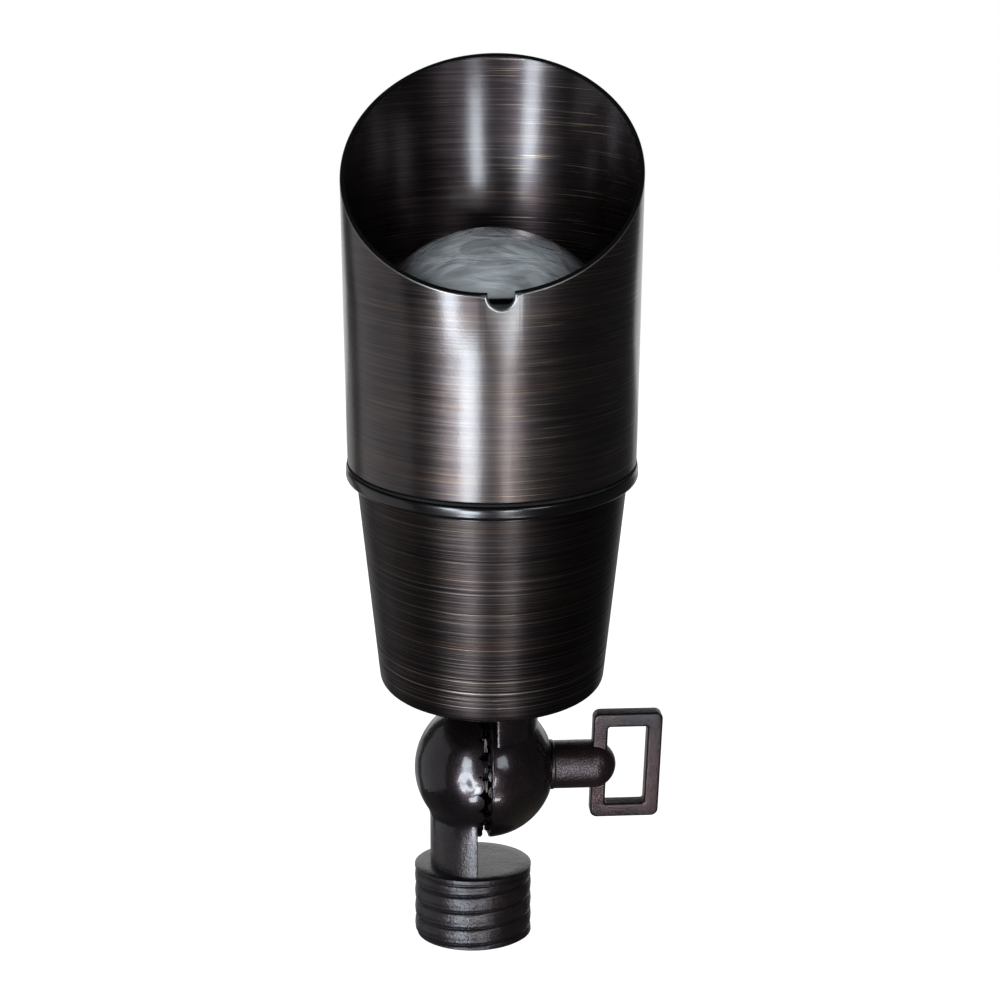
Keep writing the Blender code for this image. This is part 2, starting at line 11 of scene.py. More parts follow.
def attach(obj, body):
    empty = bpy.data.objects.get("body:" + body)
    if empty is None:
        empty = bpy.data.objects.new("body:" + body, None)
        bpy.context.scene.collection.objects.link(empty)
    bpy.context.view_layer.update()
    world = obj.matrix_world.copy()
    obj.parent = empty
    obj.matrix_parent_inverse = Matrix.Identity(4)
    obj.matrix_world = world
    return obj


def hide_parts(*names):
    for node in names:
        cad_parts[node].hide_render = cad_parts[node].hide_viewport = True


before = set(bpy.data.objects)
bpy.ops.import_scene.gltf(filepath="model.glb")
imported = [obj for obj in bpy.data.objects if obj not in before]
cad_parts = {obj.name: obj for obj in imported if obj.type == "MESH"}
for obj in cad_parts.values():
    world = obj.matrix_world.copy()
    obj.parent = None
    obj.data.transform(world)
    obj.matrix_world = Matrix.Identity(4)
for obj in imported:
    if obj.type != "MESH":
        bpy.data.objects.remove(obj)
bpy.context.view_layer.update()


# ---------------------------------------------------------------- camera
# A near view, a little left of the light's own front and a little above its
# middle, level from side to side.
camera_spot = Vector((-0.02139, -0.30173, 0.12049))
camera_aim = Vector((0.08639, 0.98746, -0.13214))
camera_data = bpy.data.cameras.new("camera")
camera_data.sensor_width = 36.0
camera_data.lens = 61.43
camera_data.clip_start = 0.01
camera = bpy.data.objects.new("camera", camera_data)
camera.location = camera_spot
camera.rotation_mode = "QUATERNION"
camera.rotation_quaternion = camera_aim.to_track_quat("-Z", "Y")
bpy.context.scene.collection.objects.link(camera)
bpy.context.scene.camera = camera


# ---------------------------------------------------------------- studio
# White table and backdrop, tall soft strips in front for the long highlights
# on the tube, and a low general light, so that dark metal stays dark.
bpy.context.scene.view_settings.view_transform = "Standard"

backdrop = bpy.data.worlds.new("studio")
bpy.context.scene.world = backdrop
backdrop.use_nodes = True
sky = backdrop.node_tree
sky.nodes.clear()
sky_out = sky.nodes.new("ShaderNodeOutputWorld")
sky_mix = sky.nodes.new("ShaderNodeMixShader")
sky_rays = sky.nodes.new("ShaderNodeLightPath")
sky_seen = sky.nodes.new("ShaderNodeBackground")
sky_fill = sky.nodes.new("ShaderNodeBackground")
sky_seen.inputs["Color"].default_value = (1.0, 1.0, 1.0, 1.0)
sky_seen.inputs["Strength"].default_value = 1.0
sky_fill.inputs["Color"].default_value = (0.93, 0.96, 1.0, 1.0)
sky_fill.inputs["Strength"].default_value = 0.05
sky.links.new(sky_rays.outputs["Is Camera Ray"], sky_mix.inputs["Fac"])
sky.links.new(sky_fill.outputs["Background"], sky_mix.inputs[1])
sky.links.new(sky_seen.outputs["Background"], sky_mix.inputs[2])
sky.links.new(sky_mix.outputs["Shader"], sky_out.inputs["Surface"])


def tall_strip(name, azimuth, away, low, high, wide, glow, colour):
    """An upright area light at a horizontal distance from the pond light's axis, from
    one height to another and facing the axis; glow is its brightness per area."""
    a = math.radians(azimuth)
    data = bpy.data.lights.new(name, "AREA")
    data.shape = "RECTANGLE"
    data.size, data.size_y = wide, high - low
    data.energy = glow * math.pi * wide * (high - low)
    data.color = colour
    lamp = bpy.data.objects.new(name, data)
    back = Vector((math.sin(a), -math.cos(a), 0.0))
    lamp.location = back * away + Vector((0.0, 0.0, (low + high) / 2))
    lamp.rotation_mode = "QUATERNION"
    lamp.rotation_quaternion = (-back).to_track_quat("-Z", "Y")
    bpy.context.scene.collection.objects.link(lamp)


BLUISH, COOL, WARM = (0.80, 0.92, 1.0), (0.84, 0.94, 1.0), (1.0, 0.97, 0.93)
FRONT, BEHIND = 0.80, 0.90

# main light to the left of the viewer: one part for the tube's front, a short link
# where it steps aside, one for the bore, one for the swivel and one high up
tall_strip("left_front", -22.0, FRONT, -0.345, -0.222, 0.20, 29.0, BLUISH)
tall_strip("left_link", -28.0, FRONT, -0.222, -0.190, 0.18, 29.0, BLUISH)
tall_strip("left_bore", -34.5, FRONT, -0.190, 0.020, 0.15, 21.0, BLUISH)
tall_strip("left_foot", -26.0, FRONT, -0.68, -0.43, 0.16, 20.0, BLUISH)
tall_strip("left_high", -35.0, FRONT, 0.020, 0.40, 0.16, 15.0, BLUISH)
# a second one near the middle, weaker on the front than in the bore
tall_strip("middle_front", 7.0, FRONT, -0.55, -0.200, 0.065, 5.5, WARM)
tall_strip("middle_bore", 8.5, FRONT, -0.200, 0.020, 0.13, 21.0, BLUISH)
# to the right: a low one for the swivel and a high one for the ball and the screw
tall_strip("right_foot", 17.0, FRONT, -0.68, -0.55, 0.16, 20.0, COOL)
tall_strip("right_high", 27.0, FRONT, 0.20, 0.46, 0.24, 6.0, COOL)
# dim panels: a broad one on the left, one behind, and the table's glow below it
tall_strip("left_fill", -100.0, FRONT, -0.40, 0.60, 0.90, 0.42, (0.92, 0.95, 1.0))
tall_strip("back_panel", 172.0, BEHIND, 0.02, 0.60, 1.30, 0.75, (1.0, 1.0, 1.0))
tall_strip("back_low", 180.0, BEHIND, -0.40, 0.02, 1.30, 0.30, (1.0, 1.0, 1.0))

floor_mesh = bpy.data.meshes.new("table")
table_half, table_top = 3.0, -0.0004
floor_mesh.from_pydata(
    [(x, y, table_top) for x, y in ((-table_half, -table_half), (table_half, -table_half),
                                    (table_half, table_half), (-table_half, table_half))],
    [], [(0, 1, 2, 3)])
table = bpy.data.objects.new("table", floor_mesh)
bpy.context.scene.collection.objects.link(table)
table_paint = bpy.data.materials.new("white_table")
table_paint.use_nodes = True
table_tree = table_paint.node_tree
table_shader = table_tree.nodes["Principled BSDF"]
table_shader.inputs["Base Color"].default_value = (0.90, 0.90, 0.90, 1.0)
table_shader.inputs["Roughness"].default_value = 0.85
table_shader.inputs["Specular IOR Level"].default_value = 0.1
table_shader.inputs["Emission Color"].default_value = (1.0, 1.0, 1.0, 1.0)
table_shader.inputs["Emission Strength"].default_value = 1.0
floor_mesh.materials.append(table_paint)
table.visible_glossy = False
table.visible_shadow = False


# ---------------------------------------------------------------- shroud
# Thin bronze tube, parted off at a slant, brushed round and chemically
# darkened. A half-round drain notch is filed in its low lip.
PIVOT = np.array([0.0022, 0.0, 0.03115])
LEAN = math.radians(11.3)
SEAT_TILT = math.radians(-0.85)
HEAD_TURN = Matrix.Rotation(LEAN, 3, "X") @ Matrix.Rotation(SEAT_TILT, 3, "Y")
HEAD_TURN = HEAD_TURN.to_euler("XYZ")
HEAD_X = 0.0013
SHROUD_R = 0.02473
SHROUD_WALL = 0.0008


def on_head(points):
    """Head coordinates (x, y, up the head's axis from the pivot) to the shared frame: the
    seat's slight tilt about Y, the head's lean about X, then a shift to the pivot."""
    x, y, s = points[..., 0] + HEAD_X, points[..., 1], points[..., 2]
    c, d = math.cos(SEAT_TILT), math.sin(SEAT_TILT)
    x, s = x * c + s * d, s * c - x * d
    return leaned(np.stack([x, y, s], -1))


def leaned(points):
    """Pivot coordinates turned by the head's lean about X, then moved to the pivot."""
    x, y, s = points[..., 0], points[..., 1], points[..., 2]
    c, d = math.cos(LEAN), math.sin(LEAN)
    return np.stack([x, y * c - s * d, y * d + s * c], -1) + PIVOT


def hoop(r, h, a):
    """Points at radius r and height h, one for each angle in a."""
    return np.stack([r * np.cos(a), r * np.sin(a), h + 0 * a], -1)


def skin(name, grid, along=False, sharp=38.0):
    """A closed quad mesh on a grid of points (rows, columns, 3). Columns close on
    themselves, and rows too when along is set; rows that shrink to a point close as
    poles. UV map "around" holds column and row as shares from 0 to 1, and "wrap" the
    column's share and the height up the head's axis, at 20 to the metre."""
    rows, columns = grid.shape[:2]
    down = rows if along else rows - 1
    i, j = np.meshgrid(np.arange(down), np.arange(columns), indexing="ij")
    i2, j2 = (i + 1) % rows, (j + 1) % columns
    quads = np.stack([i * columns + j, i * columns + j2, i2 * columns + j2,
                      i2 * columns + j], -1).reshape(-1, 4)
    share = np.stack([np.stack([j, i], -1), np.stack([j + 1, i], -1),
                      np.stack([j + 1, i + 1], -1), np.stack([j, i + 1], -1)], 2)
    share = share.reshape(-1, 4, 2) / np.array([columns, down])
    mesh = bpy.data.meshes.new(name)
    mesh.vertices.add(rows * columns)
    mesh.vertices.foreach_set("co", grid.reshape(-1).astype(np.float32))
    mesh.loops.add(quads.size)
    mesh.loops.foreach_set("vertex_index", quads.reshape(-1).astype(np.int32))
    mesh.polygons.add(len(quads))
    mesh.polygons.foreach_set("loop_start", np.arange(0, quads.size, 4, dtype=np.int32))
    mesh.polygons.foreach_set("loop_total", np.full(len(quads), 4, np.int32))
    per_metre = 20.0
    ends = on_head(np.array([[0.0, 0.0, 0.0], [0.0, 0.0, per_metre]]))
    rise = ((grid - ends[0]) @ (ends[1] - ends[0])).reshape(-1)
    level = np.stack([share[..., 0], rise[quads]], -1)
    for label, places in (("around", share), ("wrap", level)):
        layer = mesh.uv_layers.new(name=label)
        layer.data.foreach_set("uv", places.reshape(-1).astype(np.float32))
    mesh.update()
    mesh.validate()
    close_up(mesh)
    mesh.shade_smooth()
    mesh.set_sharp_from_angle(angle=math.radians(sharp))
    return mesh


def close_up(mesh):
    """Merge poles and seams, and turn the faces outward if the volume is negative."""
    work = bmesh.new()
    work.from_mesh(mesh)
    bmesh.ops.remove_doubles(work, verts=work.verts, dist=2e-7)
    if work.calc_volume(signed=True) < 0:
        bmesh.ops.reverse_faces(work, faces=work.faces)
    work.to_mesh(mesh)
    work.free()


def rounded(corners, steps=5):
    """A profile through corner points (radius, height, fillet radius): each corner
    with a fillet becomes an arc tangent to its two sides."""
    points = np.array([c[:2] for c in corners], float)
    radii = [c[2] if len(c) > 2 else 0.0 for c in corners]
    count = len(points)
    out = []
    for k in range(count):
        here, radius = points[k], radii[k]
        before, after = points[k - 1], points[(k + 1) % count]
        u, v = before - here, after - here
        lu, lv = np.hypot(*u), np.hypot(*v)
        if radius <= 0 or lu < 1e-9 or lv < 1e-9:
            out.append(here[None])
            continue
        u, v = u / lu, v / lv
        half = math.acos(max(-1.0, min(1.0, float(u @ v)))) / 2
        reach = min(radius / math.tan(half), 0.49 * lu, 0.49 * lv)
        radius = reach * math.tan(half)
        centre = here + (u + v) / np.hypot(*(u + v)) * radius / math.sin(half)
        a0 = math.atan2(*(here + u * reach - centre)[::-1])
        a1 = math.atan2(*(here + v * reach - centre)[::-1])
        turn = (a1 - a0 + math.pi) % (2 * math.pi) - math.pi
        a = a0 + turn * np.linspace(0, 1, steps + 1)
        out.append(centre + radius * np.stack([np.cos(a), np.sin(a)], -1))
    return np.concatenate(out)


def turned(profile, count=192):
    """Grid of a profile (radius, height) carried once round the axis."""
    a = 2 * math.pi * np.arange(count) / count
    return hoop(profile[:, 0][:, None], profile[:, 1][:, None], a)


def face_places(mesh):
    """Each face's height up the head's axis from the pivot, and its distance from it."""
    spots = np.zeros(3 * len(mesh.polygons), np.float32)
    mesh.polygons.foreach_get("center", spots)
    axis = on_head(np.array([[0.0, 0.0, 0.0], [0.0, 0.0, 1.0]]))
    reach, up = spots.reshape(-1, 3) - axis[0], axis[1] - axis[0]
    return reach @ up, np.linalg.norm(np.cross(reach, up), axis=1)


def part(name, mesh, finish, body, slot, *nodes):
    """The finished piece: its material, the body it rides on and what it stands for."""
    piece = bpy.data.objects.new(name, mesh)
    mesh.materials.append(finish)
    bpy.context.scene.collection.objects.link(piece)
    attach(piece, body)
    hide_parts(*nodes)


def repaint(finish, *names):
    """A finish for CAD nodes that stay as they are."""
    for name in names:
        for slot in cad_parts[name].material_slots:
            slot.material = finish


def blank(name):
    """A new material, its node tree and its Principled shader."""
    paint = bpy.data.materials.new(name)
    paint.use_nodes = True
    return paint, paint.node_tree, paint.node_tree.nodes["Principled BSDF"]


def ramp(tree, source, stops, steps=False):
    """A colour ramp fed by a value; stops are (place, colour), and steps makes the
    colour jump at each stop."""
    made = tree.nodes.new("ShaderNodeValToRGB")
    if steps:
        made.color_ramp.interpolation = "CONSTANT"
    while len(made.color_ramp.elements) < len(stops):
        made.color_ramp.elements.new(0.5)
    for element, (place, colour) in zip(made.color_ramp.elements, stops):
        element.position = place
        element.color = (*colour, 1.0)
    tree.links.new(source, made.inputs["Fac"])
    return made.outputs["Color"]


def noise(tree, where, scale, detail=3.0, rough=0.55, stretch=None, turn=None,
          distort=0.0):
    """Noise on object coordinates: turned back to the axes of a leaning piece, then
    stretched by its own factor along each."""
    mapping = tree.nodes.new("ShaderNodeMapping")
    mapping.vector_type = "TEXTURE"
    if turn is not None:
        mapping.inputs["Rotation"].default_value = turn
    if stretch is not None:
        mapping.inputs["Scale"].default_value = [1 / factor for factor in stretch]
    tree.links.new(where, mapping.inputs["Vector"])
    made = tree.nodes.new("ShaderNodeTexNoise")
    made.inputs["Scale"].default_value = scale
    made.inputs["Detail"].default_value = detail
    made.inputs["Roughness"].default_value = rough
    made.inputs["Distortion"].default_value = distort
    tree.links.new(mapping.outputs["Vector"], made.inputs["Vector"])
    return made.outputs["Fac"]


def mixed(tree, blend, amount, a, b):
    """Two colours or values mixed; amount may be a socket or a number."""
    made = tree.nodes.new("ShaderNodeMix")
    made.data_type = "RGBA"
    made.blend_type = blend
    for place, value in ((0, amount), (6, a), (7, b)):
        socket = made.inputs[place]
        if isinstance(value, bpy.types.NodeSocket):
            tree.links.new(value, socket)
        else:
            socket.default_value = value
    return made.outputs[2]


def sums(tree, kind, a, b):
    """One maths step on two sockets or numbers."""
    made = tree.nodes.new("ShaderNodeMath")
    made.operation = kind
    for socket, value in zip(made.inputs, (a, b)):
        if isinstance(value, bpy.types.NodeSocket):
            tree.links.new(value, socket)
        else:
            socket.default_value = value
    return made.outputs[0]


def bumped(tree, socket, steps):
    """Bump from several heights, each (socket, strength, distance in metres)."""
    last = None
    for height, strength, distance in steps:
        made = tree.nodes.new("ShaderNodeBump")
        made.inputs["Strength"].default_value = strength
        made.inputs["Distance"].default_value = distance
        tree.links.new(height, made.inputs["Height"])
        if last is not None:
            tree.links.new(last, made.inputs["Normal"])
        last = made.outputs["Normal"]
    tree.links.new(last, socket)


BLACK, WHITE = (0.0, 0.0, 0.0), (1.0, 1.0, 1.0)
# the tube's rows: its outer corner, its end face and its bore start at these
TUBE_ROWS, CORNER_ROW, FACE_ROW, BORE_ROW = 18, 4, 8, 13


def along_axis(tree, where):
    """Distance from the pivot along the head's axis."""
    mapping = tree.nodes.new("ShaderNodeMapping")
    mapping.vector_type = "TEXTURE"
    mapping.inputs["Location"].default_value = PIVOT
    mapping.inputs["Rotation"].default_value = HEAD_TURN
    split = tree.nodes.new("ShaderNodeSeparateXYZ")
    tree.links.new(where, mapping.inputs["Vector"])
    tree.links.new(mapping.outputs["Vector"], split.inputs[0])
    return split.outputs["Z"]


def brushed_bronze(name, dark, mid, light, rough, streaks, aniso, coat, lines=None,
                   lip=False):
    """Brushed, darkened bronze under a thin lacquer: hair-fine rings round the head's
    axis break the colour, the roughness and the surface; the highlight spreads along
    the axis. Lines adds cut rings, brighter towards the foot: their colour, and the
    noise values where they start and are full. Without them come sparse bare scratches,
    light mostly on the +X side, where their colour is also a painted glint.
    Lip lightens the rounded outer corner of the tube's edge, bare metal and painted
    highlight, and paints its end face near-black as painted shade."""
    paint, tree, shader = blank(name)
    where = tree.nodes.new("ShaderNodeTexCoord").outputs["Object"]
    fine = noise(tree, where, 1.0, 2.0, 0.6, (40.0, 40.0, 9000.0), HEAD_TURN)
    hair = noise(tree, where, 1.0, 3.0, 0.65, (45.0, 45.0, 4300.0), HEAD_TURN)
    band = noise(tree, where, 1.0, 3.0, 0.6, (14.0, 14.0, 420.0), HEAD_TURN)
    cloud = noise(tree, where, 90.0, 4.0, 0.6)
    grain = noise(tree, where, 2600.0, 2.0, 0.55)
    waves = noise(tree, where, 60.0, 2.0, 0.5)
    colour = ramp(tree, hair, [(0.30, dark), (0.50, mid), (0.74, light)])
    warm = ramp(tree, band, [(0.35, (0.86, 0.86, 0.92)), (0.55, WHITE),
                             (0.72, (1.25, 1.10, 0.96))])
    colour = mixed(tree, "MULTIPLY", 1.0, colour, warm)
    patch = ramp(tree, cloud, [(0.35, (0.80, 0.78, 0.80)), (0.65, (1.16, 1.14, 1.12))])
    colour = mixed(tree, "MULTIPLY", 1.0, colour, patch)
    uneven = sums(tree, "ADD", sums(tree, "MULTIPLY", hair, 0.16), rough - 0.08)
    steps = [(fine, streaks, 0.00002), (hair, streaks, 0.00003), (grain, 0.10, 0.00001)]
    if lines is None:
        scratch = noise(tree, where, 1.0, 1.0, 0.5, (60.0, 60.0, 6500.0), HEAD_TURN)
        sparse = ramp(tree, scratch, [(0.66, BLACK), (0.73, WHITE)])
        split = tree.nodes.new("ShaderNodeSeparateXYZ")
        tree.links.new(where, split.inputs[0])
        # the scratches' light colour is kept mostly to the +X side: real bare scratches,
        # placed there as a painted glint
        side = ramp(tree, sums(tree, "ADD", split.outputs["X"], 0.03),
                    [(0.026, (0.15, 0.15, 0.15)), (0.042, (0.9, 0.9, 0.9))])
        bare = mixed(tree, "MULTIPLY", 1.0, sparse, side)
        colour = mixed(tree, "MIX", bare, colour, (0.42, 0.32, 0.20, 1.0))
    else:
        line_colour, none_below, full_above = lines
        cut = noise(tree, where, 1.0, 2.0, 0.55, (2.5, 2.5, 3300.0), HEAD_TURN)
        cut = ramp(tree, cut, [(none_below, BLACK), (full_above, WHITE)])
        more = ramp(tree, along_axis(tree, where),
                    [(0.019, WHITE), (0.034, (0.5, 0.5, 0.5)), (0.055, (0.35, 0.35, 0.35))])
        cut = mixed(tree, "MULTIPLY", 1.0, cut, more)
        colour = mixed(tree, "MIX", cut, colour, line_colour)
        steps.append((cut, 0.6, 0.00003))
    if lip:
        rows = tree.nodes.new("ShaderNodeUVMap")
        rows.uv_map = "around"
        split = tree.nodes.new("ShaderNodeSeparateXYZ")
        tree.links.new(rows.outputs["UV"], split.inputs[0])
        share = split.outputs["Y"]
        corner, face, bore = (row / TUBE_ROWS for row in (CORNER_ROW, FACE_ROW, BORE_ROW))
        # outer corner rows: bare metal lightened as a painted highlight; end face rows:
        # near-black painted shade
        rubbed_edge_highlight = ramp(tree, share, [(0.0, BLACK), (corner, WHITE), (face, BLACK)], True)
        ends = ramp(tree, share, [(0.0, BLACK), (face, WHITE), (bore, BLACK)], True)
        colour = mixed(tree, "MIX", rubbed_edge_highlight, colour, (0.30, 0.28, 0.27, 1.0))
        colour = mixed(tree, "MIX", ends, colour, (0.012, 0.010, 0.011, 1.0))
    tree.links.new(colour, shader.inputs["Base Color"])
    shader.inputs["Metallic"].default_value = 1.0
    tree.links.new(uneven, shader.inputs["Roughness"])
    shader.inputs["Anisotropic"].default_value = aniso
    shader.inputs["Anisotropic Rotation"].default_value = 0.25
    shader.inputs["Coat Weight"].default_value = coat
    gloss = sums(tree, "ADD", sums(tree, "MULTIPLY", cloud, 0.12), 0.14)
    tree.links.new(gloss, shader.inputs["Coat Roughness"])
    bumped(tree, shader.inputs["Coat Normal"],
           [(waves, 0.30, 0.0005), (grain, 0.35, 0.00002)])
    tangent = tree.nodes.new("ShaderNodeTangent")
    tangent.direction_type = "UV_MAP"
    tangent.uv_map = "wrap"
    tree.links.new(tangent.outputs["Tangent"], shader.inputs["Tangent"])
    bumped(tree, shader.inputs["Normal"], steps)
    return paint


shroud_bronze = brushed_bronze(
    "brushed_bronze_tube", (0.046, 0.030, 0.032), (0.073, 0.053, 0.050),
    (0.150, 0.118, 0.100), rough=0.38, streaks=0.30, aniso=0.70, coat=0.95, lip=True)
# the bore's copy of the tube's bronze has darker base colours: painted shade inside the
# tube
bore_bronze_shaded = brushed_bronze(
    "brushed_bronze_bore_shaded", (0.026, 0.016, 0.018), (0.042, 0.028, 0.030),
    (0.095, 0.074, 0.072), rough=0.38, streaks=0.30, aniso=0.70, coat=0.90, lip=True)

# low and high points of the slanted edge, up the head's axis, and the notch
SHROUD_BOTTOM, SHROUD_LOW, SHROUD_HIGH = 0.0591, 0.0923, 0.12457
SHROUD_TURN = math.radians(-6.6)
NOTCH_TURN = math.radians(-1.4)
NOTCH_R = 0.0021
NOTCH_CHAMFER = 0.00045


def shroud_grid():
    """Rows run up the outside, over the slanted edge and down the inside. The edge's
    height is a plane, lowered to a half circle at the notch; the outer corner is
    rounded, and at the notch that rounding widens to a filed chamfer."""
    columns = 1440
    angle = np.linspace(-math.pi, math.pi, columns + 1)[:-1] + NOTCH_TURN
    across = (angle - NOTCH_TURN) * SHROUD_R
    middle, rise = (SHROUD_HIGH + SHROUD_LOW) / 2, (SHROUD_HIGH - SHROUD_LOW) / 2
    inner = SHROUD_R - SHROUD_WALL
    near = 1 / (1 + np.exp((np.abs(across) - NOTCH_R - 0.0010) / 0.00012))
    edge = 0.00013 + 0.00020 * near
    quarter = np.linspace(0, math.pi / 2, FACE_ROW - CORNER_ROW + 1)
    # each row: radius, height above the edge's plane, share of the chamfer, and how far
    # up the wall it is; a row without the second has its height as the last
    rows = [(SHROUD_R - 0.0002, None, 0.0, SHROUD_BOTTOM),
            (SHROUD_R, None, 0.0, SHROUD_BOTTOM + 0.0002),
            (SHROUD_R, -edge, 1.0, 0.35), (SHROUD_R, -edge, 1.0, 0.7)]
    rows += [(SHROUD_R - edge * (1 - math.cos(t)), -edge * (1 - math.sin(t)),
              1 - math.sin(t), 1.0) for t in quarter]
    small = 0.00008
    rows += [(inner + small * (1 - math.sin(t)), -small * (1 - math.cos(t)), 0.0, 1.0)
             for t in quarter]
    rows += [(inner, 0.0, 0.0, 0.7), (inner, 0.0, 0.0, 0.35),
             (inner, None, 0.0, SHROUD_BOTTOM + 0.0002),
             (inner + 0.0002, None, 0.0, SHROUD_BOTTOM)]
    out = []
    for r, drop, widen, level in rows:
        if drop is None:
            height = np.full_like(angle, level)
        else:
            top = middle - rise * np.cos(angle - SHROUD_TURN) * r / SHROUD_R
            size = NOTCH_R + NOTCH_CHAMFER * widen
            depth = np.sqrt(np.maximum(size**2 - across**2, 0.0))
            cap = SHROUD_LOW + 0.0001 - depth
            top = np.where(np.abs(across) < size, np.minimum(top, cap), top)
            top = top + np.where(np.abs(across) < size, 0.0, drop)
            height = SHROUD_BOTTOM + (top - SHROUD_BOTTOM) * level
        out.append(np.stack([r * np.sin(angle), -r * np.cos(angle), height], -1))
    return on_head(np.array(out))


tube_mesh = skin("shroud_tube", shroud_grid(), along=True, sharp=30.0)
part("shroud_tube", tube_mesh, shroud_bronze, "shroud", "brushed_bronze", "shroud")
tube_mesh.materials.append(bore_bronze_shaded)
from_axis = face_places(tube_mesh)[1]
in_bore = from_axis < SHROUD_R - SHROUD_WALL * 0.85
tube_mesh.polygons.foreach_set("material_index", in_bore.astype(np.int32))


# ---------------------------------------------------------------- housing
# Cup turned from bar: tapered wall with the lathe's marks left in it, a rounded
# bead at the top, and the spigot with its two seal grooves inside the shroud.
# the cup's base colours are darker than the tube's: painted shade for its downward-facing
# wall
cup_bronze = brushed_bronze(
    "turned_bronze_cup", (0.022, 0.016, 0.016), (0.036, 0.027, 0.026),
    (0.080, 0.062, 0.054), rough=0.40, streaks=0.5, aniso=0.7, coat=0.06,
    lines=((0.26, 0.21, 0.19, 1.0), 0.56, 0.66))
bead_bronze = brushed_bronze(
    "smooth_bronze_bead", (0.020, 0.016, 0.017), (0.028, 0.022, 0.023),
    (0.045, 0.036, 0.034), rough=0.30, streaks=0.08, aniso=0.5, coat=1.00,
    lines=((0.07, 0.06, 0.06, 1.0), 0.70, 0.80))


SPIGOT_FOOT = 0.0585
BEAD_FOOT = 0.05575


def housing_grid():
    """Profile with the outer taper divided finely: its radius drops by a few
    hundredths of a millimetre in seeded, irregular tool marks."""
    marks = np.random.default_rng(7)
    s = np.linspace(0.02135, 0.0556, 430)
    taper = 0.01997 + 0.00320 * (s - 0.01965) / 0.03515
    depth = np.zeros_like(s)
    for _ in range(30):
        at = marks.uniform(0.0220, 0.0550)
        if marks.uniform() < 0.45:
            at = marks.uniform(0.0220, 0.0300)
        depth += marks.uniform(0.00001, 0.00005) * np.exp(-((s - at) / 0.00013) ** 2)
    wall = np.stack([taper - depth, s], -1)
    bore, groove, spigot, bead = 0.0210, 0.0220, 0.0232, 0.02506
    end, shelf, under_bead = 0.0849, SPIGOT_FOOT, 0.0564
    top = rounded([(bore, end), (spigot, end, 0.0005), (spigot, 0.0791, 0.0001),
                   (groove, 0.0791), (groove, 0.0769), (spigot, 0.0769, 0.0001),
                   (spigot, 0.0671, 0.0001), (groove, 0.0671), (groove, 0.0649),
                   (spigot, 0.0649, 0.0001), (spigot, shelf), (bead, shelf, 0.0006),
                   (bead, under_bead, 0.0016), (0.02405, 0.0562, 0.0002),
                   (0.02385, 0.0559, 0.0001), (0.02328, 0.0558, 0.0001)])[1:]
    bottom, floor, ledge, hole, well = 0.01805, 0.0204, 0.0350, 0.0107, 0.0172
    foot = rounded([(0.02012, 0.02135), (0.01980, bottom, 0.0016), (hole, bottom, 0.0002),
                    (hole, floor), (well, floor, 0.0008), (well, ledge), (0.0195, ledge),
                    (bore, 0.0551), (bore, end)], 7)[1:-1]
    profile = np.concatenate([top, wall[::-1], foot, [[bore, end]]])
    return on_head(turned(profile, 176))


cup_mesh = skin("housing_cup", housing_grid(), along=True, sharp=32.0)
part("housing_cup", cup_mesh, cup_bronze, "head", "brushed_bronze", "housing")
cup_mesh.materials.append(bead_bronze)
on_bead = face_places(cup_mesh)[0] > BEAD_FOOT
cup_mesh.polygons.foreach_set("material_index", on_bead.astype(np.int32))


# ---------------------------------------------------------------- rubber
# Nitrile rings: one under the shroud, one each side of the glass, two on the
# spigot, and the glands and gaskets that only the underside or a cut would show.
def black_rubber():
    """Matt black rubber with a faint bloom and a moulded grain."""
    paint, tree, shader = blank("black_rubber")
    where = tree.nodes.new("ShaderNodeTexCoord").outputs["Object"]
    bloom = noise(tree, where, 420.0, 4.0, 0.6)
    grain = noise(tree, where, 5200.0, 2.0, 0.5)
    colour = ramp(tree, bloom, [(0.3, (0.003, 0.003, 0.003)), (0.7, (0.007, 0.007, 0.007))])
    tree.links.new(colour, shader.inputs["Base Color"])
    uneven = sums(tree, "ADD", sums(tree, "MULTIPLY", bloom, 0.25), 0.50)
    tree.links.new(uneven, shader.inputs["Roughness"])
    shader.inputs["Specular IOR Level"].default_value = 0.12
    bumped(tree, shader.inputs["Normal"], [(grain, 0.3, 0.00002)])
    return paint


rubber = black_rubber()
# name, body, CAD node, inner and outer radius, low and high end, fillet
RINGS = (
    ("bead_seal", "head", "bead_gasket", 0.02335, 0.02484, 0.05853, 0.05907, 0.00020),
    ("glass_seat", "head", "lens_gasket_lower", 0.0206, 0.0228, 0.0851, 0.0861, 0.0003),
    ("glass_cushion", "shroud", "lens_gasket_upper", 0.0192, 0.0228, 0.0883, 0.0891,
     0.0003),
)
for name, body, stands_for, inner, outer, low, high, edge in RINGS:
    outline = rounded([(outer, high, edge), (outer, low, edge), (inner, low, edge),
                       (inner, high, edge)], 4)
    part(name, skin(name, on_head(turned(outline)), along=True), rubber, body,
         "black_rubber", stands_for)
repaint(rubber, "thrust_gasket", "cable_grommet", "stub_grommet", "stem_gasket",
        "spigot_ring_high", "spigot_ring_low")


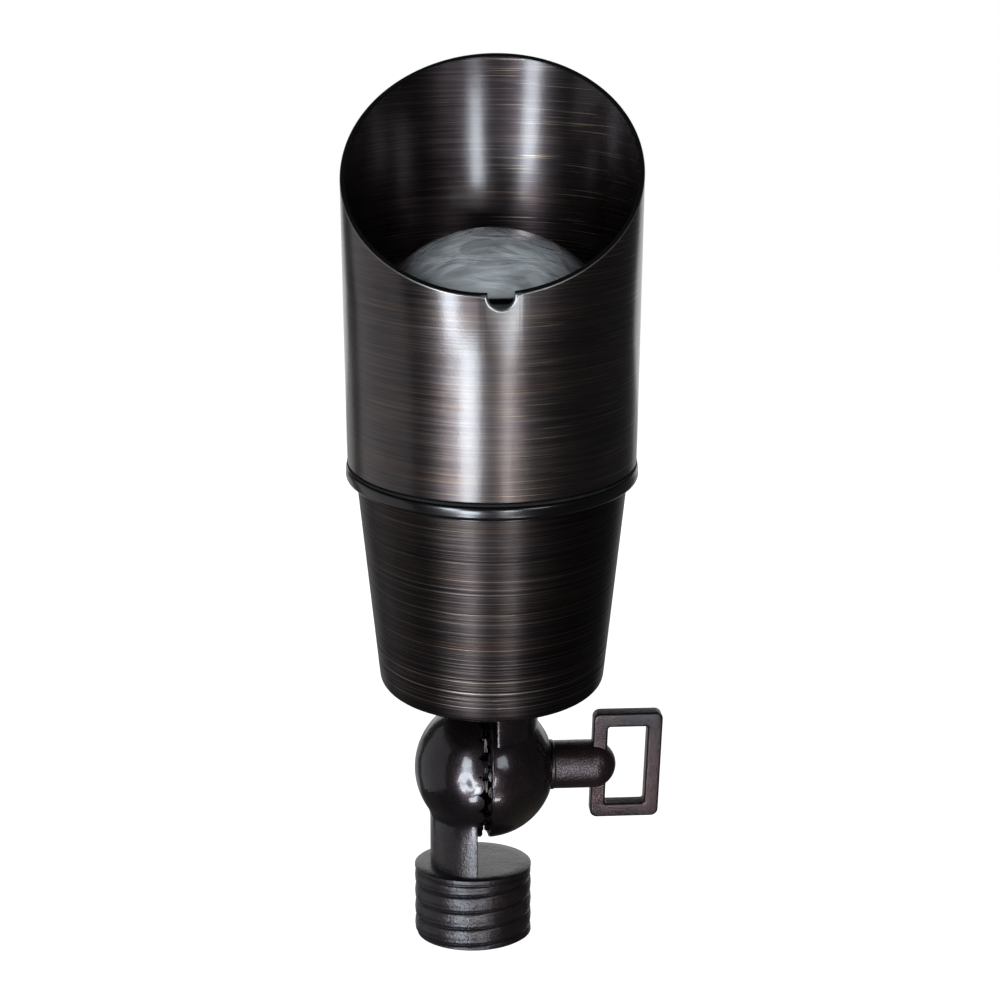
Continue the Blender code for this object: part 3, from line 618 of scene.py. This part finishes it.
# ---------------------------------------------------------------- lens
# Domed pressed glass, a little cloudy and uneven from pressing and from lime, on
# a flat flange; the keeper ring above it is pressed into the shroud.
def hazy_glass():
    """Thick grey-tinted glass, part clear and part clouded, with slow ripples."""
    paint, tree, shader = blank("hazy_glass")
    where = tree.nodes.new("ShaderNodeTexCoord").outputs["Object"]
    ripple = noise(tree, where, 110.0, 3.0, 0.5, (1.0, 1.5, 2.4), None, 1.6)
    cloud = noise(tree, where, 120.0, 4.0, 0.55, (0.8, 1.0, 2.2), None, 1.4)
    colour = ramp(tree, cloud, [(0.32, (0.40, 0.40, 0.405)), (0.50, (0.68, 0.68, 0.69)),
                                (0.66, (0.84, 0.84, 0.84))])
    tree.links.new(colour, shader.inputs["Base Color"])
    shader.inputs["IOR"].default_value = 1.5
    shader.inputs["Transmission Weight"].default_value = 0.35
    uneven = sums(tree, "ADD", sums(tree, "MULTIPLY", cloud, 0.12), 0.10)
    tree.links.new(uneven, shader.inputs["Roughness"])
    shader.inputs["Coat Weight"].default_value = 1.0
    shader.inputs["Coat Roughness"].default_value = 0.05
    bumped(tree, shader.inputs["Normal"], [(ripple, 0.55, 0.0010)])
    bumped(tree, shader.inputs["Coat Normal"], [(ripple, 0.45, 0.0008)])
    return paint


def dome_grid():
    """Outer sphere down to the flange, then a concentric inner sphere."""
    centre, outer, inner = 0.07585, 0.0225, 0.0201
    high, low, rim = 0.0881, 0.0863, 0.0228
    a = np.linspace(math.pi / 2, math.asin((high - centre) / outer), 40)
    top = np.stack([outer * np.cos(a), centre + outer * np.sin(a)], -1)
    b = np.linspace(math.asin((low - centre) / inner), math.pi / 2, 32)
    under = np.stack([inner * np.cos(b), centre + inner * np.sin(b)], -1)
    top[0, 0] = under[-1, 0] = 0.0
    flange = rounded([(top[-1, 0], high), (rim, high, 0.0003), (rim, low, 0.0003),
                      (under[0, 0], low)], 4)[1:-1]
    return on_head(turned(np.concatenate([top, flange, under]), 160))


part("lens_dome", skin("lens_dome", dome_grid()), hazy_glass(), "shroud",
     "clear_glass", "lens")

# the keeper's near-black base colours are painted shade for a ring deep inside the tube
keeper_bronze = brushed_bronze(
    "turned_bronze_keeper", (0.010, 0.008, 0.008), (0.016, 0.013, 0.013),
    (0.035, 0.028, 0.026), rough=0.30, streaks=0.4, aniso=0.6, coat=0.30,
    lines=((0.30, 0.27, 0.25, 1.0), 0.60, 0.68))
keeper = rounded([(0.0236, 0.0902, 0.0001), (0.0236, 0.0893, 0.0001),
                  (0.0182, 0.0893, 0.0001), (0.0182, 0.0908, 0.0001),
                  (0.0192, 0.0908, 0.0002), (0.0198, 0.0902, 0.0001)], 4)
part("lens_keeper", skin("lens_keeper", on_head(turned(keeper)), along=True),
     keeper_bronze, "shroud", "brushed_bronze", "lens_ring")


# ---------------------------------------------------------------- swivel
# Two castings with a ball half each, clamped face to face. Radial teeth round
# both faces hold the angle. Cast, tumbled, darkened and waxed.
def cast_bronze(name, worn, sandy_below, red=1.0):
    """Dark waxed casting: fine grain, slow unevenness in the reflections, reddish
    metal showing through in patches, and worn to bare brass round the point worn if
    there is one. Below a height its skin is left as sand cast."""
    paint, tree, shader = blank(name)
    where = tree.nodes.new("ShaderNodeTexCoord").outputs["Object"]
    cloud = noise(tree, where, 110.0, 4.0, 0.6)
    sand = noise(tree, where, 2300.0, 3.0, 0.6)
    fine = noise(tree, where, 7000.0, 2.0, 0.5)
    slow = noise(tree, where, 200.0, 2.0, 0.5)
    colour = ramp(tree, cloud, [(0.32, (0.014, 0.0095, 0.012)),
                                (0.55, (0.025 * red, 0.017, 0.019)),
                                (0.75, (0.050 * red, 0.029, 0.027))])
    speck = ramp(tree, sand, [(0.60, WHITE), (0.72, (1.7, 1.5, 1.4))])
    colour = mixed(tree, "MULTIPLY", 1.0, colour, speck)
    if worn is not None:
        away = tree.nodes.new("ShaderNodeVectorMath")
        away.operation = "DISTANCE"
        tree.links.new(where, away.inputs[0])
        away.inputs[1].default_value = worn
        ragged = sums(tree, "ADD", away.outputs["Value"],
                      sums(tree, "MULTIPLY", sand, 0.0030))
        bare = ramp(tree, ragged, [(0.0022, WHITE), (0.0042, BLACK)])
        colour = mixed(tree, "MIX", bare, colour, (0.20, 0.155, 0.055, 1.0))
    tree.links.new(colour, shader.inputs["Base Color"])
    shader.inputs["Metallic"].default_value = 0.9
    split = tree.nodes.new("ShaderNodeSeparateXYZ")
    tree.links.new(where, split.inputs[0])
    sandy = ramp(tree, split.outputs["Z"], [(sandy_below - 0.002, WHITE),
                                            (sandy_below + 0.002, BLACK)])
    uneven = sums(tree, "ADD", sums(tree, "MULTIPLY", sand, 0.16), 0.20)
    uneven = sums(tree, "ADD", uneven, sums(tree, "MULTIPLY", sandy, 0.12))
    tree.links.new(uneven, shader.inputs["Roughness"])
    shader.inputs["Coat Weight"].default_value = 0.75
    gloss = sums(tree, "ADD", sums(tree, "MULTIPLY", sandy, 0.14), 0.11)
    tree.links.new(gloss, shader.inputs["Coat Roughness"])
    lumps = sums(tree, "MULTIPLY", sand, sandy)
    steps = [(slow, 0.30, 0.0006), (sand, 0.16, 0.00006), (lumps, 0.45, 0.00020),
             (fine, 0.12, 0.00002)]
    bumped(tree, shader.inputs["Normal"], steps)
    bumped(tree, shader.inputs["Coat Normal"], [steps[0], steps[2]])
    return paint


BALL_R = 0.01277
TEETH = 24
TOOTH = 0.0011
COUNT = TEETH * 20
# both halves: inside of the teeth, the boss round the screw, its hole, the cavity's depth
TOOTH_INNER_R, BOSS_R, HOLE_R, CAVITY = 0.0092, 0.0049, 0.0033, 0.0066


def tooth_wave(angle):
    """0 on a crest and 1 in a root: round lobes meeting in narrow roots, each lobe the
    part of a circle that spans 92 hundredths of its own width."""
    span = 0.92
    across = ((angle * TEETH / (2 * math.pi) + 0.5) % 1.0 - 0.5) * 2
    return (1 - np.sqrt(1 - (span * across) ** 2)) / (1 - math.sqrt(1 - span**2))


def ball_half(rows):
    """Rows (radius, x) about the pivot's axis, where each entry may vary round it, as
    a grid in pivot coordinates; the angle is measured from +Z towards -Y."""
    a = 2 * math.pi * np.arange(COUNT) / COUNT
    out = []
    for r, x in rows:
        r, x = r + 0 * a, x + 0 * a
        out.append(np.stack([x, -r * np.sin(a), r * np.cos(a)], -1))
    return np.array(out)


def joined(name, *meshes):
    """Several closed shells as one mesh."""
    work = bmesh.new()
    for mesh in meshes:
        work.from_mesh(mesh)
        bpy.data.meshes.remove(mesh)
    made = bpy.data.meshes.new(name)
    work.to_mesh(made)
    work.free()
    return made


def stub_grid(pitch=0.0030, depth=0.00055):
    """Radius on a grid of angle and height: a narrow helical groove whose depth falls
    off on both sides, wide crests with a slight hollow, a thin plain rim above with a
    line under it, and chamfered ends; then the bore."""
    r0, height = 0.01067, 0.01326
    count = 240
    a = 2 * math.pi * np.arange(count) / count
    z = np.linspace(0.0004, height - 0.0002, 220)
    phase = ((z[:, None] - pitch * a / (2 * math.pi)) / pitch - 0.15) % 1.0
    away = np.abs(phase - 0.5) * pitch
    radius = r0 - depth * np.exp(-np.sqrt(away**2 + 0.00006**2) / 0.00026)
    middle = (np.abs(phase - 0.5) - 0.30) * pitch
    radius -= 0.00004 * np.exp(-(middle / 0.00030) ** 2)
    rim_foot = 0.0122
    top = 1 / (1 + np.exp(-(z[:, None] - rim_foot) / 0.00012))
    radius = radius * (1 - top) + r0 * top
    radius -= 0.00022 * np.exp(-((z[:, None] - rim_foot + 0.0001) / 0.00020) ** 2)
    bore, roof = 0.0064, 0.0088
    below = [hoop(r, h, a) for r, h in ((0.0, roof), (bore, roof), (bore, 0.0003),
                                        (bore + 0.0002, 0.0), (r0 - 0.0007, 0.0),
                                        (r0 - 0.0005, 0.0001))]
    above = [hoop(r, h, a) for r, h in ((r0 - 0.00025, height),
                                        (r0 - 0.002, height + 0.00002), (0.0, height))]
    return np.concatenate([below, hoop(radius, z[:, None], a), above])


def dee(radius, flat, sign, corner=0.0005, count=72):
    """Outline of a circle cut off by a flat, its two corners rounded; the flat lies at
    x = flat on the inner side, and sign says which way the round side faces."""
    limit = math.acos(flat / radius)
    a = np.linspace(-limit, limit, count)
    curve = np.stack([radius * np.cos(a), radius * np.sin(a)], -1)
    ends = rounded([(curve[-2, 0], curve[-2, 1]), (curve[-1, 0], curve[-1, 1], corner),
                    (curve[0, 0], curve[0, 1], corner), (curve[1, 0], curve[1, 1])], 5)
    outline = np.concatenate([curve[2:-2], ends[1:-1]])
    outline[:, 0] *= sign
    return outline


def lower_swivel():
    """Stub, neck and left half of the ball. The neck's radius flares into the ball on
    a 4 mm fillet: r = sqrt of the circle's equation between its two tangent heights."""
    crest, hole_end = 0.0009, 0.0089
    a = 2 * math.pi * np.arange(COUNT) / COUNT
    edge = -(crest + TOOTH * tooth_wave(a))
    to = np.arccos((edge - 0.00012) / BALL_R)
    rows = []
    for t in np.linspace(0, 1, 70):
        angle = math.pi + (to - math.pi) * t
        rows.append((BALL_R * np.sin(angle), BALL_R * np.cos(angle)))
    rows[0] = (0.0, -BALL_R)
    lip = np.sqrt(BALL_R**2 - edge**2)
    rows += [(lip - 0.00010, edge - 0.00002), (lip - 0.00022, edge)]
    rows += [(TOOTH_INNER_R, edge), (TOOTH_INNER_R, -CAVITY), (BOSS_R, -CAVITY),
             (BOSS_R, -crest), (HOLE_R, -crest), (HOLE_R, -hole_end), (0.0, -hole_end)]
    ball = ball_half(rows)
    # a shallow sink mark and two small nubs left by the casting
    for centre, size, depth in (((-0.0042, -0.0121, -0.0001), 0.0019, -0.00020),
                                ((-0.0068, -0.0106, -0.0110), 0.0005, 0.00022),
                                ((-0.0104, -0.0073, -0.0024), 0.0005, 0.00022)):
        centre = np.array(centre) / np.linalg.norm(centre) * BALL_R
        distance = np.linalg.norm(ball - centre, axis=-1)
        outward = ball / np.maximum(np.linalg.norm(ball, axis=-1, keepdims=True), 1e-6)
        shell = (np.linalg.norm(ball, axis=-1) > BALL_R * 0.985)[..., None]
        ball = ball + outward * (depth * np.exp(-(distance / size) ** 2))[..., None] * shell
    ball = skin("ball_left", ball + PIVOT, sharp=40.0)
    neck_r, fillet = 0.0100, 0.0040
    outline = dee(neck_r, 0.0020, -1)
    reach = math.sqrt(0.01677**2 - 0.0140**2)
    z = np.concatenate([np.linspace(0.0124, 0.01326, 3),
                        np.linspace(0.0140, PIVOT[2] - reach, 12),
                        PIVOT[2] - reach + np.linspace(0.0002, reach - 0.0070, 12)])
    drop = PIVOT[2] - z
    inside = np.clip(fillet**2 - (reach - drop) ** 2, 0, None)
    flare = np.where(drop < reach, 0.0140 - np.sqrt(inside), neck_r)
    grid = []
    for height, r in zip(z, flare):
        grow = r / neck_r
        x = np.where(outline[:, 0] < -0.0021, outline[:, 0] * grow, outline[:, 0])
        grid.append(np.stack([x, outline[:, 1] * grow, 0 * x + height], -1))
    grid = np.array(grid)
    grid[..., 0] += PIVOT[0]
    first, last = grid[:1].mean(1, keepdims=True), grid[-1:].mean(1, keepdims=True)
    grid = np.concatenate([first + 0 * grid[:1], grid, last + 0 * grid[:1]])
    neck = skin("neck", grid, sharp=40.0)
    stub = skin("stub", stub_grid(), sharp=45.0)
    return joined("swivel_lower", ball, neck, stub)


lower_bronze = cast_bronze("cast_bronze_lower", None, 0.0205)
part("swivel_lower", lower_swivel(), lower_bronze, "base", "cast_bronze", "lower_knuckle")


def upper_swivel():
    """Right half of the ball, its neck and the stub inside the housing. The teeth stand
    on an inner ring, behind a plain rim that waves a little, and mesh with the left
    half's."""
    a = 2 * math.pi * np.arange(COUNT) / COUNT
    phase = a + LEAN + math.pi / TEETH
    tooth = -0.00024 + TOOTH * tooth_wave(phase)
    rim = 0.00032 + 0.00008 * np.cos(TEETH * phase) + 0.00006 * np.sin(3 * a)
    spotface_r, spotface_x = 0.0051, 0.0092
    start = math.asin(spotface_r / BALL_R)
    rows = [(HOLE_R, spotface_x), (spotface_r, spotface_x), (spotface_r, 0.01155)]
    to = np.arccos((rim + 0.00034) / BALL_R)
    for t in np.linspace(0.02, 1, 64):
        angle = start + (to - start) * t
        rows.append((BALL_R * np.sin(angle), BALL_R * np.cos(angle)))
    lip = BALL_R - 0.00002
    rows += [(lip - 0.00006, rim + 0.00020), (lip - 0.00018, rim + 0.00007),
             (lip - 0.00036, rim), (lip - 0.0011, rim),
             (lip - 0.0011, tooth), (TOOTH_INNER_R, tooth), (TOOTH_INNER_R, CAVITY),
             (BOSS_R, CAVITY), (BOSS_R, 0.00025), (HOLE_R, 0.00025)]
    ball = skin("ball_right", leaned(ball_half(rows)), along=True, sharp=40.0)
    flat = 0.0015
    outline = dee(0.0096, flat, 1)
    s = np.concatenate([[0.0026], np.linspace(0.0030, 0.0172, 14), [0.01765, 0.01775]])
    shrink = np.concatenate([np.ones(15), [0.995, 0.98]])
    grid = np.array([np.stack([flat + (outline[:, 0] - flat) * k, outline[:, 1] * k,
                               0 * outline[:, 0] + h], -1) for h, k in zip(s, shrink)])
    grid[..., 0] -= HEAD_X
    first, last = grid[:1].mean(1, keepdims=True), grid[-1:].mean(1, keepdims=True)
    neck = skin("neck", on_head(np.concatenate([first + 0 * grid[:1], grid,
                                                last + 0 * grid[:1]])), sharp=40.0)
    z = np.linspace(0.0182, 0.0300, 130)
    turns = 2 * math.pi * np.arange(160) / 160
    pitch = 0.0018
    phase = ((z[:, None] - pitch * turns / (2 * math.pi)) / pitch) % 1.0
    radius = 0.01035 - 0.0006 * np.exp(-((phase - 0.5) * pitch / 0.0004) ** 2)
    foot, end, bore, roof = 0.01765, 0.0304, 0.0056, 0.0227
    low = [hoop(r, h, turns) for r, h in ((0.0, foot), (0.0100, foot))]
    high = [hoop(r, h, turns) for r, h in ((0.0099, end), (bore, end), (bore, roof),
                                           (0.0, roof))]
    side = hoop(radius, z[:, None], turns)
    stub = skin("stub", on_head(np.concatenate([low, side, high])), sharp=45.0)
    return joined("swivel_upper", ball, neck, stub)


upper_bronze = cast_bronze("cast_bronze_upper", (0.0105, -0.0080, 0.0232), 0.0)
part("swivel_upper", upper_swivel(), upper_bronze, "head", "cast_bronze", "upper_knuckle")


# ---------------------------------------------------------------- thumb screw
# One casting: round stem with a domed end and a rectangular ring to turn it by,
# bored for the steel stud that is driven into it.
STEM_R = 0.0044
RING_LEAN = math.radians(13.0)


def screw_point(points):
    """Screw coordinates to the shared frame: the ring leans about the stem."""
    c, d = math.cos(RING_LEAN), math.sin(RING_LEAN)
    x, y, z = points[..., 0], points[..., 1], points[..., 2]
    return np.stack([x, y * c - z * d, y * d + z * c], -1) + PIVOT


def stem_grid():
    """Profile along X: small foot flange, straight stem, hemisphere; bored from below."""
    a = np.linspace(0, math.pi / 2, 24)
    dome = np.stack([STEM_R * np.sin(a), 0.0197 + STEM_R * np.cos(a)], -1)
    dome[0, 0] = 0.0
    flange, foot_x, bore, bore_end = 0.00455, 0.0119, 0.0031, 0.0176
    foot = rounded([(STEM_R, 0.0196), (STEM_R, 0.0126, 0.0004), (flange, 0.0124, 0.0001),
                    (flange, foot_x, 0.0001), (bore, foot_x), (bore, bore_end)], 5)
    profile = np.concatenate([dome, foot[1:], [[0.0, bore_end]]])
    turns = 2 * math.pi * np.arange(128) / 128
    r, x = profile[:, 0][:, None], profile[:, 1][:, None]
    return np.stack([x + 0 * turns, r * np.cos(turns), r * np.sin(turns)], -1)


def ring_grid():
    """A rounded square section carried round a rounded rectangle in the XZ plane; the
    corner radius grows from the inner edge to the outer one, and the ring is thinner
    at its outer edge by the pattern's draft."""
    x0, x1, tall, bar, thick = 0.0196, 0.0323, 0.0213, 0.0027, 0.0030
    inner, outer = thick / 2, thick / 2 - 0.0001
    section = rounded([(-bar / 2, -inner, 0.0005), (bar / 2, -outer, 0.0005),
                       (bar / 2, outer, 0.0005), (-bar / 2, inner, 0.0005)], 6)
    rows = []
    for offset, across in section:
        half_w = (x1 - x0 - bar) / 2 + offset
        half_h = (tall - bar) / 2 + offset
        corner = np.interp(offset, [-bar / 2, bar / 2], [0.0005, 0.0013])
        t = np.linspace(0, math.pi / 2, 10)
        path = []
        for sx, sz, start in ((1, 1, 0), (-1, 1, 1), (-1, -1, 2), (1, -1, 3)):
            turn = t + start * math.pi / 2
            path.append(np.stack([sx * (half_w - corner) + corner * np.cos(turn),
                                  0 * turn + across,
                                  sz * (half_h - corner) + corner * np.sin(turn)], -1))
        path = np.concatenate(path)
        path[:, 0] += (x0 + x1) / 2
        rows.append(path)
    return np.array(rows)


stem = skin("stem", screw_point(stem_grid()), sharp=40.0)
loop = skin("loop", screw_point(ring_grid()), along=True, sharp=50.0)
screw_bronze = cast_bronze("cast_bronze_screw", None, 0.060, 1.5)
part("thumb_screw_cast", joined("thumb_screw_cast", stem, loop), screw_bronze,
     "thumb_screw", "cast_bronze", "thumb_screw")


# ---------------------------------------------------------------- steel
# Stainless stud, washer, lock nut, socket plate, screws and the lamp's pins.
def plain_steel():
    """Turned and pressed stainless: fine scratches and water spots."""
    paint, tree, shader = blank("stainless_steel")
    where = tree.nodes.new("ShaderNodeTexCoord").outputs["Object"]
    scratch = noise(tree, where, 900.0, 3.0, 0.6, (1.0, 6.0, 1.0))
    spot = noise(tree, where, 260.0, 3.0, 0.6)
    colour = ramp(tree, spot, [(0.3, (0.42, 0.42, 0.43)), (0.7, (0.60, 0.60, 0.61))])
    tree.links.new(colour, shader.inputs["Base Color"])
    shader.inputs["Metallic"].default_value = 1.0
    uneven = sums(tree, "ADD", sums(tree, "MULTIPLY", scratch, 0.25), 0.18)
    tree.links.new(uneven, shader.inputs["Roughness"])
    bumped(tree, shader.inputs["Normal"], [(scratch, 0.2, 0.00003)])
    return paint


repaint(plain_steel(), "clamp_stud", "thrust_washer", "stem_nut", "socket_plate",
        "plate_screw_1", "plate_screw_2", "lamp_pin_1", "lamp_pin_2")


# ---------------------------------------------------------------- lamp
# Two-pin LED lamp with a finned alloy body, a metallised reflector, a white
# board and a flat front glass, in a ceramic socket with two sleeved leads.
def small_part(name, low, high, metallic, rough, scale, depth=0.00003, clear=0.0):
    """A plain moulded, pressed or fired surface: colour that clouds between two, uneven
    gloss, and a grain of the given depth."""
    paint, tree, shader = blank(name)
    where = tree.nodes.new("ShaderNodeTexCoord").outputs["Object"]
    cloud = noise(tree, where, scale, 4.0, 0.6)
    grain = noise(tree, where, scale * 12, 2.0, 0.5)
    colour = ramp(tree, cloud, [(0.3, low), (0.7, high)])
    tree.links.new(colour, shader.inputs["Base Color"])
    shader.inputs["Metallic"].default_value = metallic
    shader.inputs["Transmission Weight"].default_value = clear
    uneven = sums(tree, "ADD", sums(tree, "MULTIPLY", cloud, 0.12), rough - 0.06)
    tree.links.new(uneven, shader.inputs["Roughness"])
    bumped(tree, shader.inputs["Normal"], [(grain, 0.2, depth)])
    return paint


repaint(small_part("cast_alloy", (0.45, 0.45, 0.47), (0.62, 0.62, 0.64), 1.0, 0.42,
                   300.0), "lamp_body")
repaint(small_part("bright_reflector", (0.80, 0.80, 0.81), (0.90, 0.90, 0.90), 1.0, 0.12,
                   200.0, 0.00001), "lamp_reflector")
repaint(small_part("white_board", (0.70, 0.72, 0.70), (0.82, 0.84, 0.81), 0.0, 0.5,
                   400.0), "lamp_board")
repaint(small_part("front_glass", (0.85, 0.88, 0.88), (0.92, 0.94, 0.94), 0.0, 0.10,
                   150.0, 0.00001, 0.9), "lamp_glass")
repaint(small_part("white_ceramic", (0.74, 0.72, 0.67), (0.84, 0.82, 0.77), 0.0, 0.45,
                   500.0), "lamp_socket")
repaint(small_part("black_sleeve", (0.012, 0.012, 0.012), (0.025, 0.025, 0.026), 0.0, 0.45,
                   600.0), "lead_black")
repaint(small_part("white_sleeve", (0.66, 0.66, 0.64), (0.78, 0.78, 0.76), 0.0, 0.45,
                   600.0), "lead_white")
